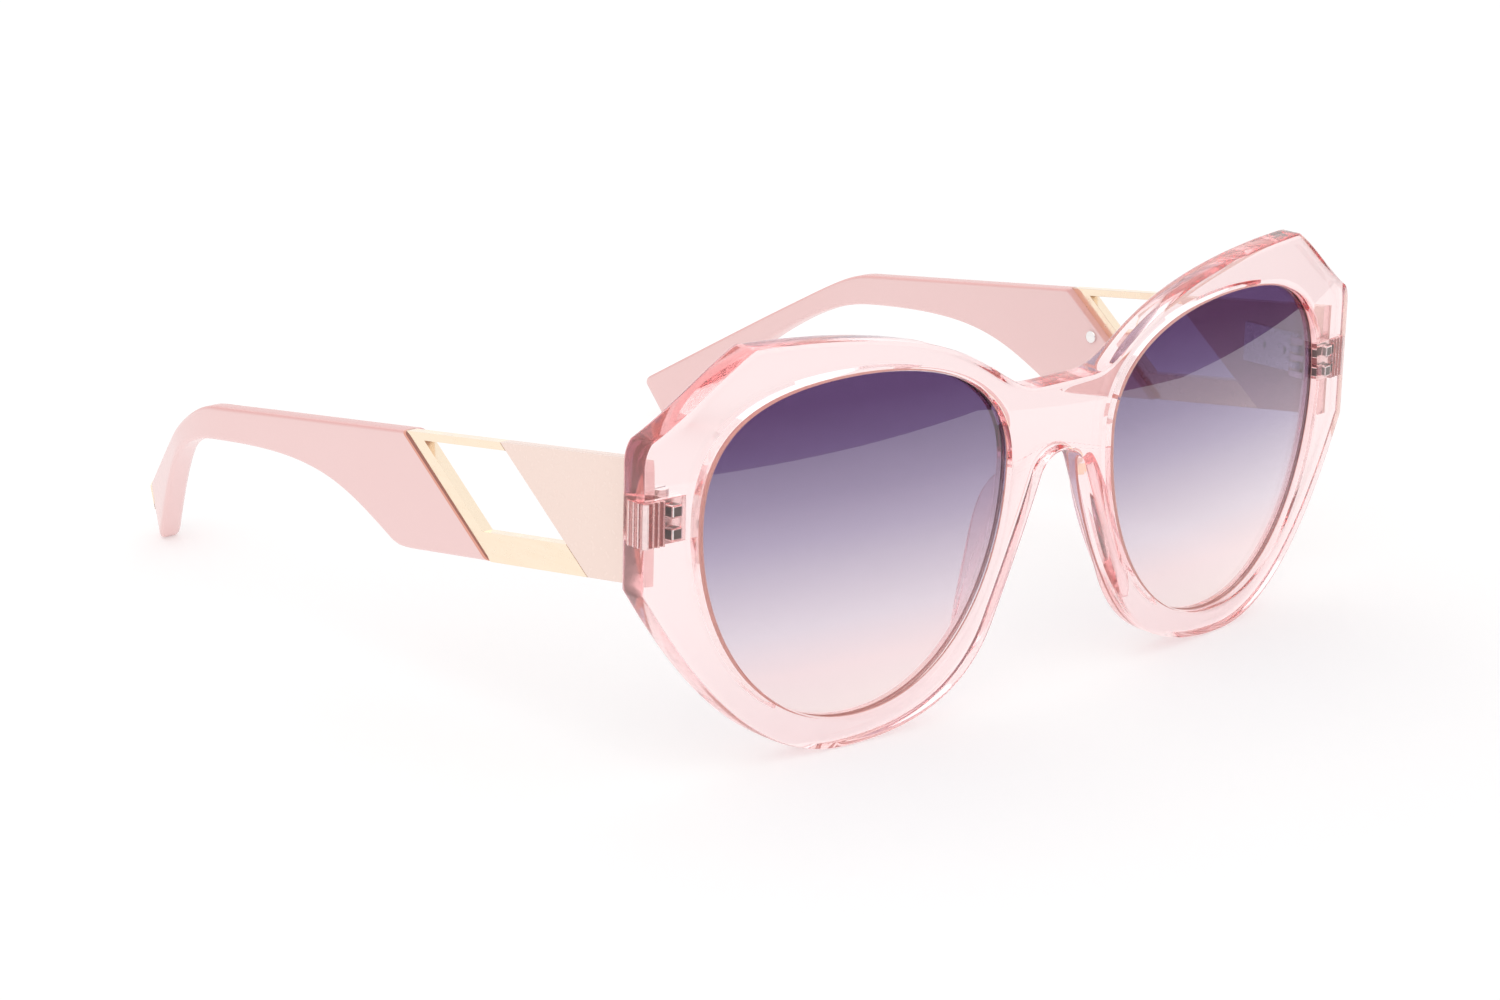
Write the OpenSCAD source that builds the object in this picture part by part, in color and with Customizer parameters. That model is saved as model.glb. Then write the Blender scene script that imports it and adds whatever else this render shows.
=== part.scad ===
// Cat eye sunglasses, open and standing on the rims and the temple tips.
// X is across the face, the lenses face -Y, the temples run to +Y, Z is up.

/* [Front] */
// Width of each rim opening
eye_w = 52.6; // [44:0.2:64]
// Height of each rim opening
eye_h = 48.1; // [40:0.1:57]
// Distance between the two rim openings
bridge_w = 21.6; // [18:0.1:26]
// Width of the end piece outside each opening
end_w = 9.1; // [8:0.1:14]
// Rim height above the opening
rim_top = 5.9; // [4:0.1:9]
// Rim height below the opening
rim_bottom = 4.1; // [3:0.1:7]
// Thickness of the acetate front
front_t = 4.6; // [3.8:0.1:5.6]
// Radius that the front is curved to
face_r = 350; // [260:5:450]
// Distance from the top of the front down to the bridge's top edge
bridge_drop = 12.4; // [10:0.1:14]
// Distance from the top of the front down to the arch under the bridge
arch_drop = 22.7; // [20:0.1:26]

/* [Lenses] */
// Thickness of a lens
lens_t = 2; // [1.6:0.1:2.4]
// Depth of the lens groove in the rim
groove_d = 0.45; // [0.3:0.05:0.8]
// Distance from the front face to the lens
lens_inset = 1.2; // [0.8:0.1:1.5]
// Clearance of a seated piece in its pocket
seat_gap = 0.05; // [0.03:0.01:0.1]

/* [Hinges] */
// Distance from the top of the front down to the middle of the hinge
hinge_drop = 21.9; // [20:0.1:23]
// Outer radius of a hinge barrel
barrel_r = 1.5; // [1.3:0.1:1.8]
// Height of one hinge barrel
barrel_h = 1; // [0.9:0.1:1.6]
// Gap between two barrels, where a washer sits
barrel_gap = 0.3; // [0.2:0.05:0.4]
// Radius of the hinge screw
screw_r = 0.7; // [0.5:0.05:0.8]
// Running clearance round the hinge screw
run_gap = 0.03; // [0.02:0.01:0.08]
// Clearance between moving pieces
move_gap = 0.3; // [0.2:0.05:0.5]
// Thickness of the front hinge's plate
hinge_plate_t = 1.2; // [0.9:0.1:1.5]
// Acetate left round the front hinge's plate
plate_wall = 1.2; // [0.8:0.1:1.6]
// Width of a square prong
prong_w = 1.8; // [1.4:0.1:2]
// Distance between the two prongs
prong_pitch = 3.1; // [2.8:0.1:4]
// Length of the temple hinge's leaf
leaf_l = 9.5; // [8:0.1:12]
// Thickness of the temple hinge's leaf
leaf_t = 1; // [0.8:0.1:1.2]

/* [Temples] */
// Distance from the outside of the front to a temple's outer face
temple_inset = 2.4; // [2:0.1:3]
// Distance from the top of the front down to the temple's top edge
temple_drop = 14.2; // [12:0.1:15]
// Height of the temple's front section
temple_h = 17; // [14.5:0.1:19]
// Length of the enamelled section along the top
panel_l = 26.7; // [24:0.1:31]
// Distance along the top from the front to the acetate
seam_s = 47; // [44:0.1:56]
// Distance along the temple to the ear bend
bend_s = 97; // [88:0.5:114]
// Length of the tip from the ear bend to its end
tip_l = 39; // [33:0.5:46]
// Drop of the tip's top edge
tip_drop = 18.5; // [16:0.1:22]
// Height of the temple where it is narrowest
neck_h = 5.1; // [4.8:0.1:6]
// Height of the tip at its end
tip_h = 9.1; // [8:0.1:11]
// Inward turn of the tip, in degrees
tip_turn = 24.5; // [20:0.5:27]
// Radius of the inward turn
turn_r = 45; // [38:1:54]
// Thickness of the metal plate
metal_t = 1.8; // [1.6:0.1:2.2]
// Thickness of the enamel panel
panel_t = 0.5; // [0.4:0.05:0.7]
// Thickness of the acetate temple
rear_t = 3.6; // [3.2:0.1:4.2]
// How far the acetate stands out past the metal
rear_proud = 0.3; // [0.1:0.05:0.5]
// Height of the window's top bar
bar_top = 1.1; // [0.9:0.1:1.6]
// Height of the window's bottom bar
bar_bottom = 4.1; // [3.4:0.1:5]
// Width of the window's rear bar, along the temple
bar_rear = 2.7; // [2.2:0.1:3.4]
// Height of the core wire's section
wire_w = 1.4; // [1:0.1:1.8]
// Thickness of the core wire
wire_t = 1.2; // [0.8:0.1:1.4]
// Length of the gold end plate
end_plate_l = 4.5; // [3.5:0.1:5.5]

/* [Hidden] */
$fn = 48;
// segments in one stretch of a curved outline
curve_n = 7;
// segments of the large face cylinders
face_fn = 720;
// how far a cut runs past a face
past = 1;

// the front
eye_x0 = bridge_w / 2;
half_w = eye_x0 + eye_w + end_w;
front_h = rim_bottom + eye_h + rim_top;
bridge_top = front_h - bridge_drop;
bridge_arch = front_h - arch_drop;
hinge_z = front_h - hinge_drop;
temple_z = front_h - temple_drop;
function face_y(x, depth) = face_r - sqrt(pow(face_r - depth, 2) - x * x);
function back_y(x) = face_y(x, front_t);

// the hinge
outer_x = half_w - temple_inset;
metal_x1 = outer_x - rear_proud;
metal_x0 = metal_x1 - metal_t;
pivot_x = metal_x0 - barrel_r - move_gap;
pivot_y = back_y(pivot_x) + barrel_r + move_gap * 2;
hinge_h = 5 * barrel_h + 4 * barrel_gap;
hinge_z0 = hinge_z - hinge_h / 2;
barrel_pitch = barrel_h + barrel_gap;
plate_x0 = half_w - end_w + groove_d + plate_wall / 2;
plate_x1 = half_w - plate_wall;
plate_y1 = back_y(plate_x0);
prong_from_edge = 2.8;
prong_x = plate_x0 + prong_from_edge;
prong_skin = 0.6;
prong_y0 = face_y(prong_x, 0) + prong_skin;
screw_head_r = 1.25;
screw_head_t = 0.6;
slot_w = 0.3;
slot_d = 0.3;
washer_inset = 0.1;
rivet_r = 0.6;
rivet_head_r = 1;
rivet_head_t = 0.4;
rivet_first = 4.3;
rivet_pitch = 3.9;

// the temple, in its own frame: x across, s along, h up from the top edge
rear_x1 = outer_x;
rear_x0 = outer_x - rear_t;
butt_y = back_y(metal_x1) + move_gap;
slant = 0.95;
end_lean = 3.6 / 9.1;
toe_r = 2;
toe_end = -124;
end_top = [bend_s + tip_l, -tip_drop];
end_dir = [-end_lean, -sqrt(1 - end_lean * end_lean)];
toe_c = [end_top[0] + end_dir[0] * (tip_h - toe_r) + end_dir[1] * toe_r,
         end_top[1] + end_dir[1] * (tip_h - toe_r) - end_dir[0] * toe_r];
// the temples slope so that rims and toes stand on one plane
toe_dist = norm(toe_c);
rake = asin((temple_z - toe_r) / toe_dist) - atan2(-toe_c[1], toe_c[0]);
// distance from the butt to the temple's own origin
butt_s = 1.55;
temple_y = butt_y + butt_s;
function front_s(h) = (butt_y - temple_y - h * sin(rake)) / cos(rake);
depth = temple_y + end_top[0] * cos(rake) + end_top[1] * sin(rake);

tongue_t = 0.8;
tongue_x0 = rear_x0 + (rear_t - tongue_t) / 2 + 0.2;
tongue_h = [-5, -10];
tongue_end = seam_s + 4;
seam_rivet = [seam_s - 5, -7.5];
wire_h = -neck_h / 2;
wire_tip = [bend_s + 0.72 * tip_l, -0.86 * tip_drop];
end_plate_t = 0.6;
end_plate_from = 1.2;
end_plate_side = 0.6;

// ---- outlines ----

// points of a cubic curve from a to d, without its last point
function curve(a, b, c, d) = [for (i = [0:curve_n - 1])
    let (t = i / curve_n, u = 1 - t)
    u * u * u * a + 3 * u * u * t * b + 3 * u * t * t * c + t * t * t * d];

function arc(c, r, a0, a1) = [for (i = [0:curve_n])
    let (a = a0 + (a1 - a0) * i / curve_n)
    [c[0] + r * cos(a), c[1] + r * sin(a)]];

// a place in the rim opening: u and v run from 0 to 1 over its box
function eye(u, v, grow) =
    let (w = eye_w + 2 * grow, h = eye_h + 2 * grow)
    [eye_x0 - grow + u * w, rim_bottom - grow + v * h];

function eye_outline(grow) = concat(
    curve(eye(0, 0.655, grow), eye(0, 0.88, grow), eye(0.21, 0.995, grow), eye(0.52, 1, grow)),
    curve(eye(0.52, 1, grow), eye(0.82, 1, grow), eye(1, 0.92, grow), eye(1, 0.63, grow)),
    curve(eye(1, 0.63, grow), eye(1, 0.3, grow), eye(0.8, 0, grow), eye(0.5, 0, grow)),
    curve(eye(0.5, 0, grow), eye(0.19, 0, grow), eye(0, 0.31, grow), eye(0, 0.655, grow))
);

// a place outside the opening, measured from its box corners
function from_inner(dx, z) = [eye_x0 + dx, z];
function from_outer(dx, z) = [half_w + dx, z];
top_corner = from_outer(-16.5, front_h);
end_corner = from_outer(-1, front_h - 10.6);
end_side = from_outer(0, front_h - 14);
low_corner = from_outer(0, front_h - 31.1);
foot = [eye_x0 + eye_w * 0.55, 0];
nose_low = from_inner(1.7, 14.3);
nose_high = from_inner(-6.4, bridge_arch - 2.7);
brow = from_inner(19, front_h - 2.5);

half_outline = concat(
    [[0, bridge_top]],
    curve(from_inner(-5.8, bridge_top), from_inner(1.2, bridge_top),
          from_inner(3.2, front_h - 6.1), brow),
    curve(brow, from_inner(27, front_h - 0.7), from_outer(-25.5, front_h + 0.05), top_corner),
    curve(top_corner, from_outer(-12.5, front_h - 2.1), from_outer(-6.5, front_h - 7.5), end_corner),
    curve(end_corner, from_outer(-0.4, front_h - 11.4), from_outer(0, front_h - 12.4), end_side),
    curve(low_corner, from_outer(-5.5, low_corner[1] - 9.5), [half_w - 16.5, 0], foot),
    curve(foot, from_inner(17.2, 0), from_inner(6.2, 3), nose_low),
    curve(nose_low, from_inner(-0.6, 19.1), from_inner(-4.2, bridge_arch - 8.4), nose_high),
    curve(nose_high, from_inner(-7.2, bridge_arch - 0.8), [1.6, bridge_arch], [0, bridge_arch]),
    [[0, bridge_arch]]
);

// side view of the acetate temple, from the seam to the tip
neck_s = bend_s - 3;
belly_s = seam_s + 2.7;
tip_under = toe_c + toe_r * [cos(toe_end), sin(toe_end)];
rear_outline = concat(
    [[seam_s, 0]],
    curve([bend_s - 4, 0], [bend_s + 2, 0], [bend_s + 6, -2], end_top),
    [end_top],
    arc(toe_c, toe_r, -atan2(end_lean, -end_dir[1]), toe_end),
    curve(tip_under, [bend_s + 20, -neck_h - 8], [bend_s + 10, -neck_h], [neck_s, -neck_h]),
    curve([neck_s, -neck_h], [neck_s - 26, -neck_h], [belly_s + 13, -temple_h + 8],
          [belly_s + 2.5, -temple_h + 0.8]),
    curve([belly_s + 2.5, -temple_h + 0.8], [belly_s + 1.5, -temple_h], [belly_s, -temple_h],
          [belly_s - 3, -temple_h]),
    [[seam_s - slant * temple_h, -temple_h]]
);

// ---- helpers ----

module side(dir) {
    if (dir < 0) mirror([1, 0, 0]) children();
    else children();
}

// puts the model's own frame on its reference point, under the middle of its box
module placed(dir = 1) {
    translate([0, -depth / 2, 0]) side(dir) children();
}

module temple_frame() {
    translate([0, temple_y, temple_z]) rotate([-rake, 0, 0]) children();
}

// extrudes a side view [s, h] across from x0 to x1
module across(points, x0, x1) {
    translate([x0, 0, 0]) rotate([90, 0, 90]) linear_extrude(x1 - x0) polygon(points);
}

// extrudes a front view [x, z] from y0 to y1
module through(points, y0, y1) {
    translate([0, y1, 0]) rotate([90, 0, 0]) linear_extrude(y1 - y0) polygon(points);
}

// a curved sheet that follows the face, from depth a to depth b
module face_sheet(a, b) {
    translate([0, face_r, -past]) difference() {
        cylinder(h = front_h + 2 * past, r = face_r - a, $fn = face_fn);
        translate([0, 0, -past]) cylinder(h = front_h + 4 * past, r = face_r - b, $fn = face_fn);
    }
}

module box(low, high) {
    translate(low) cube(high - low);
}

// an upright barrel, number n from the bottom, 0 to 4
module barrel(n) {
    translate([pivot_x, pivot_y, hinge_z0 + n * barrel_pitch]) cylinder(h = barrel_h, r = barrel_r);
}

module screw_bore() {
    translate([pivot_x, pivot_y, hinge_z0 - past]) cylinder(h = hinge_h + 2 * past, r = screw_r + run_gap);
}

module across_pin(x0, x1, y, z, r) {
    translate([x0, y, z]) rotate([0, 90, 0]) cylinder(h = x1 - x0, r = r);
}

module prongs(gap) {
    for (k = [-1, 1]) {
        z = hinge_z + k * prong_pitch / 2;
        w = prong_w / 2 + gap;
        box([prong_x - w, prong_y0 - gap, z - w], [prong_x + w, plate_y1 - hinge_plate_t, z + w]);
    }
}

module hinge_pocket() {
    y0 = plate_y1 - hinge_plate_t - seat_gap;
    box([plate_x0 - seat_gap, y0, hinge_z0 - seat_gap],
        [plate_x1 + seat_gap, back_y(half_w) + past, hinge_z0 + hinge_h + seat_gap]);
}

// the core wire: a flat strip down the middle of the acetate, into the tip
module wire_shape(gap) {
    start = [tongue_end + 1 - gap, wire_h];
    path = concat(
        [start],
        curve([bend_s - 8, wire_h], [bend_s + 4, wire_h], [bend_s + 9, -0.3 * tip_drop], wire_tip),
        [wire_tip + gap * [1, -0.5]]
    );
    half = [0, wire_w / 2 + gap];
    last = len(path) - 1;
    intersection() {
        across([for (i = [0:2 * last + 1]) i <= last ? path[i] + half : path[2 * last + 1 - i] - half],
               0, half_w);
        plan_band((rear_t - wire_t) / 2 - gap);
    }
}

// plan of the temple: straight, then turned inwards; inset thins both faces
module plan_band(inset) {
    x1 = rear_x1 - inset;
    x0 = rear_x0 + inset;
    c = [x0 - turn_r, bend_s - 6];
    out = turn_r + x1 - x0;
    run = 80;
    dir = [-sin(tip_turn), cos(tip_turn)];
    points = concat(
        [[x0, 0], [x1, 0]],
        arc(c, out, 0, tip_turn),
        [c + out * [cos(tip_turn), sin(tip_turn)] + run * dir,
         c + turn_r * [cos(tip_turn), sin(tip_turn)] + run * dir],
        arc(c, turn_r, tip_turn, 0)
    );
    translate([0, 0, -2 * temple_h - tip_drop]) linear_extrude(3 * temple_h + tip_drop)
        polygon(points);
}

module end_plate_shape(gap) {
    along = end_dir;
    inward = [end_dir[1], -end_dir[0]];
    a = end_top + along * (end_plate_from - gap);
    b = end_top + along * (end_plate_from + end_plate_l + gap);
    depth_in = end_plate_t + gap;
    intersection() {
        across([a - inward * gap, b - inward * gap, b + inward * depth_in, a + inward * depth_in],
               0, half_w);
        plan_band(end_plate_side - gap);
    }
}

module tongue(gap) {
    h0 = tongue_h[0] + gap;
    h1 = tongue_h[1] - gap;
    across([[seam_s + slant * h0 - 1, h0], [tongue_end + gap, h0], [tongue_end + gap, h1],
            [seam_s + slant * h1 - 1, h1]],
           tongue_x0 - gap, tongue_x0 + tongue_t + gap);
}

// ---- sub-parts of the front ----

module front_frame() {
    color([0.97, 0.72, 0.74, 0.6]) placed() difference() {
        intersection() {
            union() {
                through(half_outline, -past, back_y(half_w) + past);
                mirror([1, 0, 0]) through(half_outline, -past, back_y(half_w) + past);
            }
            face_sheet(0, front_t);
        }
        for (dir = [-1, 1]) side(dir) {
            through(eye_outline(0), -2 * past, back_y(half_w) + 2 * past);
            intersection() {
                through(eye_outline(groove_d + seat_gap), -2 * past, back_y(half_w) + 2 * past);
                face_sheet(lens_inset - seat_gap, lens_inset + lens_t + seat_gap);
            }
            hinge_pocket();
            prongs(seat_gap);
        }
    }
}

module lens(dir) {
    color([0.5, 0.42, 0.58, 0.7]) placed(dir) intersection() {
        through(eye_outline(groove_d), -past, back_y(half_w) + past);
        face_sheet(lens_inset, lens_inset + lens_t);
    }
}

// the pad's rounded corners: across from the opening, behind the face, up from the arch
pad_front = [[-4.2, 0, -4.9], [5.2, 0, -24.6]];
pad_back = [[-3.6, 3.4, -9], [0.2, 2.2, -19.2]];
pad_front_r = 1.6;
pad_back_r = 1.3;

module pad_corners(places, r, stretch) {
    for (p = places) translate([eye_x0 + p[0], back_y(eye_x0) + p[1], bridge_arch + p[2]])
        scale(stretch) sphere(r = r, $fn = 32);
}

// a pad moulded to the back of the inner rim, splayed towards the nose's sides
module nose_pad(dir) {
    color([0.98, 0.9, 0.9, 0.5]) placed(dir) intersection() {
        hull() {
            pad_corners(pad_front, pad_front_r, [1, 1.3, 1.6]);
            pad_corners(pad_back, pad_back_r, [1, 1, 2]);
        }
        translate([0, face_r, 0]) cylinder(h = front_h, r = face_r - front_t - run_gap, $fn = face_fn);
    }
}

module front_hinge(dir) {
    y1 = plate_y1;
    color("silver") placed(dir) difference() {
        union() {
            box([plate_x0, y1 - hinge_plate_t, hinge_z0],
                [plate_x1, y1, hinge_z0 + hinge_h]);
            for (n = [0, 2, 4]) {
                z = hinge_z0 + n * barrel_pitch;
                barrel(n);
                box([max(plate_x0, pivot_x - barrel_r), y1 - hinge_plate_t, z],
                    [pivot_x + barrel_r, pivot_y, z + barrel_h]);
            }
        }
        screw_bore();
    }
}

module hinge_prongs(dir) {
    color("dimgray") placed(dir) prongs(0);
}

module hinge_screw(dir) {
    top = hinge_z0 + hinge_h;
    color("silver") placed(dir) difference() {
        translate([pivot_x, pivot_y, 0]) {
            translate([0, 0, hinge_z0]) cylinder(h = hinge_h + screw_head_t / 2, r = screw_r);
            translate([0, 0, top]) cylinder(h = screw_head_t, r = screw_head_r);
        }
        box([pivot_x - 2 * screw_head_r, pivot_y - slot_w / 2, top + screw_head_t - slot_d],
            [pivot_x + 2 * screw_head_r, pivot_y + slot_w / 2, top + screw_head_t + past]);
    }
}

module hinge_washers(dir) {
    t = barrel_gap - 2 * seat_gap;
    color("gold") placed(dir) for (n = [0:3]) {
        translate([pivot_x, pivot_y, hinge_z0 + barrel_h + n * barrel_pitch + seat_gap]) difference() {
            cylinder(h = t, r = barrel_r - washer_inset);
            translate([0, 0, -past]) cylinder(h = t + 2 * past, r = screw_r + run_gap);
        }
    }
}

// ---- sub-parts of a temple ----

rivet_y = [pivot_y + rivet_first, pivot_y + rivet_first + rivet_pitch];

module rivet_holes() {
    for (y = rivet_y) across_pin(metal_x0 - leaf_t - past, metal_x1 - panel_t, y, hinge_z, rivet_r + run_gap);
}

module temple_hinge(dir) {
    leaf_y0 = pivot_y + barrel_r + move_gap;
    color("silver") placed(dir) difference() {
        union() {
            box([metal_x0 - leaf_t, leaf_y0, hinge_z0], [metal_x0, leaf_y0 + leaf_l, hinge_z0 + hinge_h]);
            for (n = [1, 3]) {
                z = hinge_z0 + n * barrel_pitch;
                barrel(n);
                box([pivot_x, pivot_y, z], [metal_x0, leaf_y0 + leaf_t, z + barrel_h]);
            }
        }
        screw_bore();
        rivet_holes();
    }
}

module hinge_rivets(dir) {
    x0 = metal_x0 - leaf_t;
    color("silver") placed(dir) for (y = rivet_y) {
        across_pin(x0, metal_x1 - panel_t, y, hinge_z, rivet_r);
        across_pin(x0 - rivet_head_t, x0, y, hinge_z, rivet_head_r);
    }
}

// the plated metal core of the front section, with its open window
module metal_plate(dir) {
    h0 = -bar_top;
    h1 = -temple_h + bar_bottom;
    seam_low = seam_s - slant * temple_h;
    color([0.93, 0.8, 0.6]) placed(dir) difference() {
        temple_frame() {
            difference() {
                across([[front_s(0), 0], [seam_s, 0], [seam_low, -temple_h],
                        [front_s(-temple_h), -temple_h]], metal_x0, metal_x1);
                across([[panel_l + slant * h0, h0], [seam_s - bar_rear + slant * h0, h0],
                        [seam_s - bar_rear + slant * h1, h1], [panel_l + slant * h1, h1]],
                       metal_x0 - past, metal_x1 + past);
                across([[front_s(0) - past, past], [panel_l + slant * past, past],
                        [panel_l - slant * (temple_h + past), -temple_h - past],
                        [front_s(0) - past, -temple_h - past]],
                       metal_x1 - panel_t, metal_x1 + past);
            }
            difference() {
                tongue(0);
                across_pin(rear_x0, rear_x1, seam_rivet[0], seam_rivet[1], rivet_r + run_gap);
            }
        }
        rivet_holes();
    }
}

module enamel_panel(dir) {
    color([0.97, 0.86, 0.82]) placed(dir) temple_frame()
        across([[front_s(0), 0], [panel_l - seat_gap, 0],
                [panel_l - slant * temple_h - seat_gap, -temple_h], [front_s(-temple_h), -temple_h]],
               metal_x1 - panel_t, metal_x1);
}

module temple_rear(dir) {
    color([0.94, 0.8, 0.8]) placed(dir) temple_frame() translate([0, seat_gap, 0]) difference() {
        intersection() {
            across(rear_outline, 0, half_w);
            plan_band(0);
        }
        translate([0, -seat_gap, 0]) {
            tongue(seat_gap);
            wire_shape(seat_gap);
            end_plate_shape(seat_gap);
            across_pin(rear_x0 - past, tongue_x0 + tongue_t, seam_rivet[0], seam_rivet[1],
                       rivet_r + run_gap);
        }
    }
}

module core_wire(dir) {
    color("silver") placed(dir) temple_frame() wire_shape(0);
}

module seam_rivet_pin(dir) {
    color("silver") placed(dir) temple_frame() {
        across_pin(rear_x0, tongue_x0 + tongue_t, seam_rivet[0], seam_rivet[1], rivet_r);
        across_pin(rear_x0 - rivet_head_t, rear_x0, seam_rivet[0], seam_rivet[1], rivet_head_r);
    }
}

module tip_plate(dir) {
    color("gold") placed(dir) temple_frame() end_plate_shape(0);
}

front_frame();
lens(1);  // lens_left
lens(-1);  // lens_right
nose_pad(1);  // nose_pad_left
nose_pad(-1);  // nose_pad_right
front_hinge(1);  // front_hinge_left
front_hinge(-1);  // front_hinge_right
hinge_prongs(1);  // hinge_prongs_left
hinge_prongs(-1);  // hinge_prongs_right
hinge_screw(1);  // hinge_screw_left
hinge_screw(-1);  // hinge_screw_right
hinge_washers(1);  // hinge_washers_left
hinge_washers(-1);  // hinge_washers_right
temple_hinge(1);  // temple_hinge_left
temple_hinge(-1);  // temple_hinge_right
hinge_rivets(1);  // hinge_rivets_left
hinge_rivets(-1);  // hinge_rivets_right
metal_plate(1);  // metal_plate_left
metal_plate(-1);  // metal_plate_right
enamel_panel(1);  // enamel_panel_left
enamel_panel(-1);  // enamel_panel_right
temple_rear(1);  // temple_rear_left
temple_rear(-1);  // temple_rear_right
core_wire(1);  // core_wire_left
core_wire(-1);  // core_wire_right
seam_rivet_pin(1);  // seam_rivet_left
seam_rivet_pin(-1);  // seam_rivet_right
tip_plate(1);  // tip_plate_left
tip_plate(-1);  // tip_plate_right
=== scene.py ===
"""Cat eye sunglasses: clear pink acetate front, gradient lenses, metal and acetate temples."""
import bmesh
import bpy
import numpy as np
from mathutils import Matrix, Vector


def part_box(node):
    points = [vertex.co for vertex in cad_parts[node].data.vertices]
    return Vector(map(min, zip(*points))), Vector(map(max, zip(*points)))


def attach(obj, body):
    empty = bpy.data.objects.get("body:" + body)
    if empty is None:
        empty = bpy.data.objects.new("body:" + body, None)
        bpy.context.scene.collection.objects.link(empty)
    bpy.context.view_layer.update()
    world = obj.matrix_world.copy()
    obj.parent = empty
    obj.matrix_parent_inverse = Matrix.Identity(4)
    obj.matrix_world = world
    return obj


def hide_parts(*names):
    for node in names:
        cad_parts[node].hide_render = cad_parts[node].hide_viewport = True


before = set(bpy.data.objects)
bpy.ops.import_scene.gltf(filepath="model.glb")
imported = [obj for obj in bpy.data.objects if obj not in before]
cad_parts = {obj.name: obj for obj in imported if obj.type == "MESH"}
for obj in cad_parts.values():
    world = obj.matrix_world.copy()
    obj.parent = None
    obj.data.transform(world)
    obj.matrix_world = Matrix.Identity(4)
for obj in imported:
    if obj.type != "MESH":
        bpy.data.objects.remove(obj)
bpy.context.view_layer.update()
MM = 0.001

# ---- The studio ----
# A white table and backdrop, two soft lamps, and a long lens on the camera, which stands
# in front of the wearer's right side and a little above the glasses.
camera_place = (-0.3876, -0.4148, 0.1808)
camera_azimuth, camera_elevation, camera_roll = np.radians([-43.69, 16.61, 1.33])
camera_lens_mm = 91.5
sensor_mm = 36.0
aim = (0, 0, 0.03)


def placed(place, right, up, back):
    """A 4 by 4 placing matrix with the three axes as its columns."""
    matrix = np.eye(4)
    matrix[:3, 0], matrix[:3, 1], matrix[:3, 2], matrix[:3, 3] = right, up, back, place
    return Matrix(matrix.tolist())


def camera_axes(azimuth, elevation, roll):
    """Right, up and back: back points from the object to the camera, and roll turns the other two."""
    back = np.array([np.sin(azimuth) * np.cos(elevation), -np.cos(azimuth) * np.cos(elevation),
                     np.sin(elevation)])
    level = np.array([np.cos(azimuth), np.sin(azimuth), 0.0])
    rise = np.cross(back, level)
    return level * np.cos(roll) + rise * np.sin(roll), rise * np.cos(roll) - level * np.sin(roll), back


scene = bpy.context.scene
camera_data = bpy.data.cameras.new("camera")
camera_data.lens = camera_lens_mm
camera_data.sensor_width = sensor_mm
camera_data.clip_start = 0.01
camera = bpy.data.objects.new("camera", camera_data)
camera.matrix_world = placed(camera_place, *camera_axes(camera_azimuth, camera_elevation, camera_roll))
scene.collection.objects.link(camera)
scene.camera = camera
scene.view_settings.view_transform = "Standard"

# Light that is guided inside the acetate turns back many times before it leaves.
guided_turns = 48
for limit in ("max_bounces", "glossy_bounces", "transmission_bounces"):
    setattr(scene.cycles, limit, guided_turns)


def add_lamp(name, place, size, power, colour):
    """A square soft lamp that faces the glasses."""
    data = bpy.data.lights.new(name, "AREA")
    data.size, data.energy, data.color = size, power, colour
    lamp = bpy.data.objects.new(name, data)
    back = np.subtract(place, aim)
    back = back / np.linalg.norm(back)
    right = np.cross((0, 0, 1), back)
    right = right / np.linalg.norm(right)
    lamp.matrix_world = placed(place, right, np.cross(back, right), back)
    scene.collection.objects.link(lamp)


add_lamp("key_lamp", place=(-0.6, -0.3, 0.9), size=1.1, power=2.4, colour=(1, 0.99, 0.98))
add_lamp("back_lamp", place=(0.5, 0.7, 0.8), size=1.1, power=1.9, colour=(1, 0.985, 0.985))


def joined(tree, maker, **values):
    """A node whose inputs are set by name: a socket is linked and a plain value is written."""
    made = tree.nodes.new(maker)
    for key, value in values.items():
        socket = made.inputs[key.replace("_", " ")]
        if isinstance(value, bpy.types.NodeSocket):
            tree.links.new(value, socket)
        else:
            socket.default_value = value
    return made


def worked(tree, operation, *factors):
    """The result of one sum on one or two factors."""
    step = tree.nodes.new("ShaderNodeMath")
    step.operation = operation
    for factor, socket in zip(factors, step.inputs):
        tree.links.new(factor, socket)
    return step.outputs[0]


def mixed(tree, fac, first, second):
    """A mix of two shaders."""
    mix = joined(tree, "ShaderNodeMixShader", Fac=fac)
    tree.links.new(first, mix.inputs[1])
    tree.links.new(second, mix.inputs[2])
    return mix.outputs[0]


# The room lights the object at a plain level. To the camera, and in reflections and through clear
# matter, it shows white.
room_level, backdrop_level = 0.76, 1.0
world = bpy.data.worlds.new("studio")
world.use_nodes = True
scene.world = world
tree = world.node_tree
tree.nodes.clear()
path = tree.nodes.new("ShaderNodeLightPath").outputs
seen = worked(tree, "MAXIMUM", path["Is Camera Ray"], path["Is Glossy Ray"])
seen = worked(tree, "MAXIMUM", seen, path["Is Transmission Ray"])
lighting = joined(tree, "ShaderNodeBackground", Color=(1, 0.99, 0.99, 1), Strength=room_level)
backdrop = joined(tree, "ShaderNodeBackground", Color=(1, 1, 1, 1), Strength=backdrop_level)
room = mixed(tree, seen, lighting.outputs[0], backdrop.outputs[0])
tree.links.new(room, tree.nodes.new("ShaderNodeOutputWorld").inputs[0])


def flat_sheet(name, outline, height):
    """A level one-sided sheet from its outline (x, y)."""
    mesh = bpy.data.meshes.new(name)
    mesh.from_pydata([(x, y, height) for x, y in outline], [], [tuple(range(len(outline)))])
    sheet = bpy.data.objects.new(name, mesh)
    scene.collection.objects.link(sheet)
    return sheet


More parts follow.
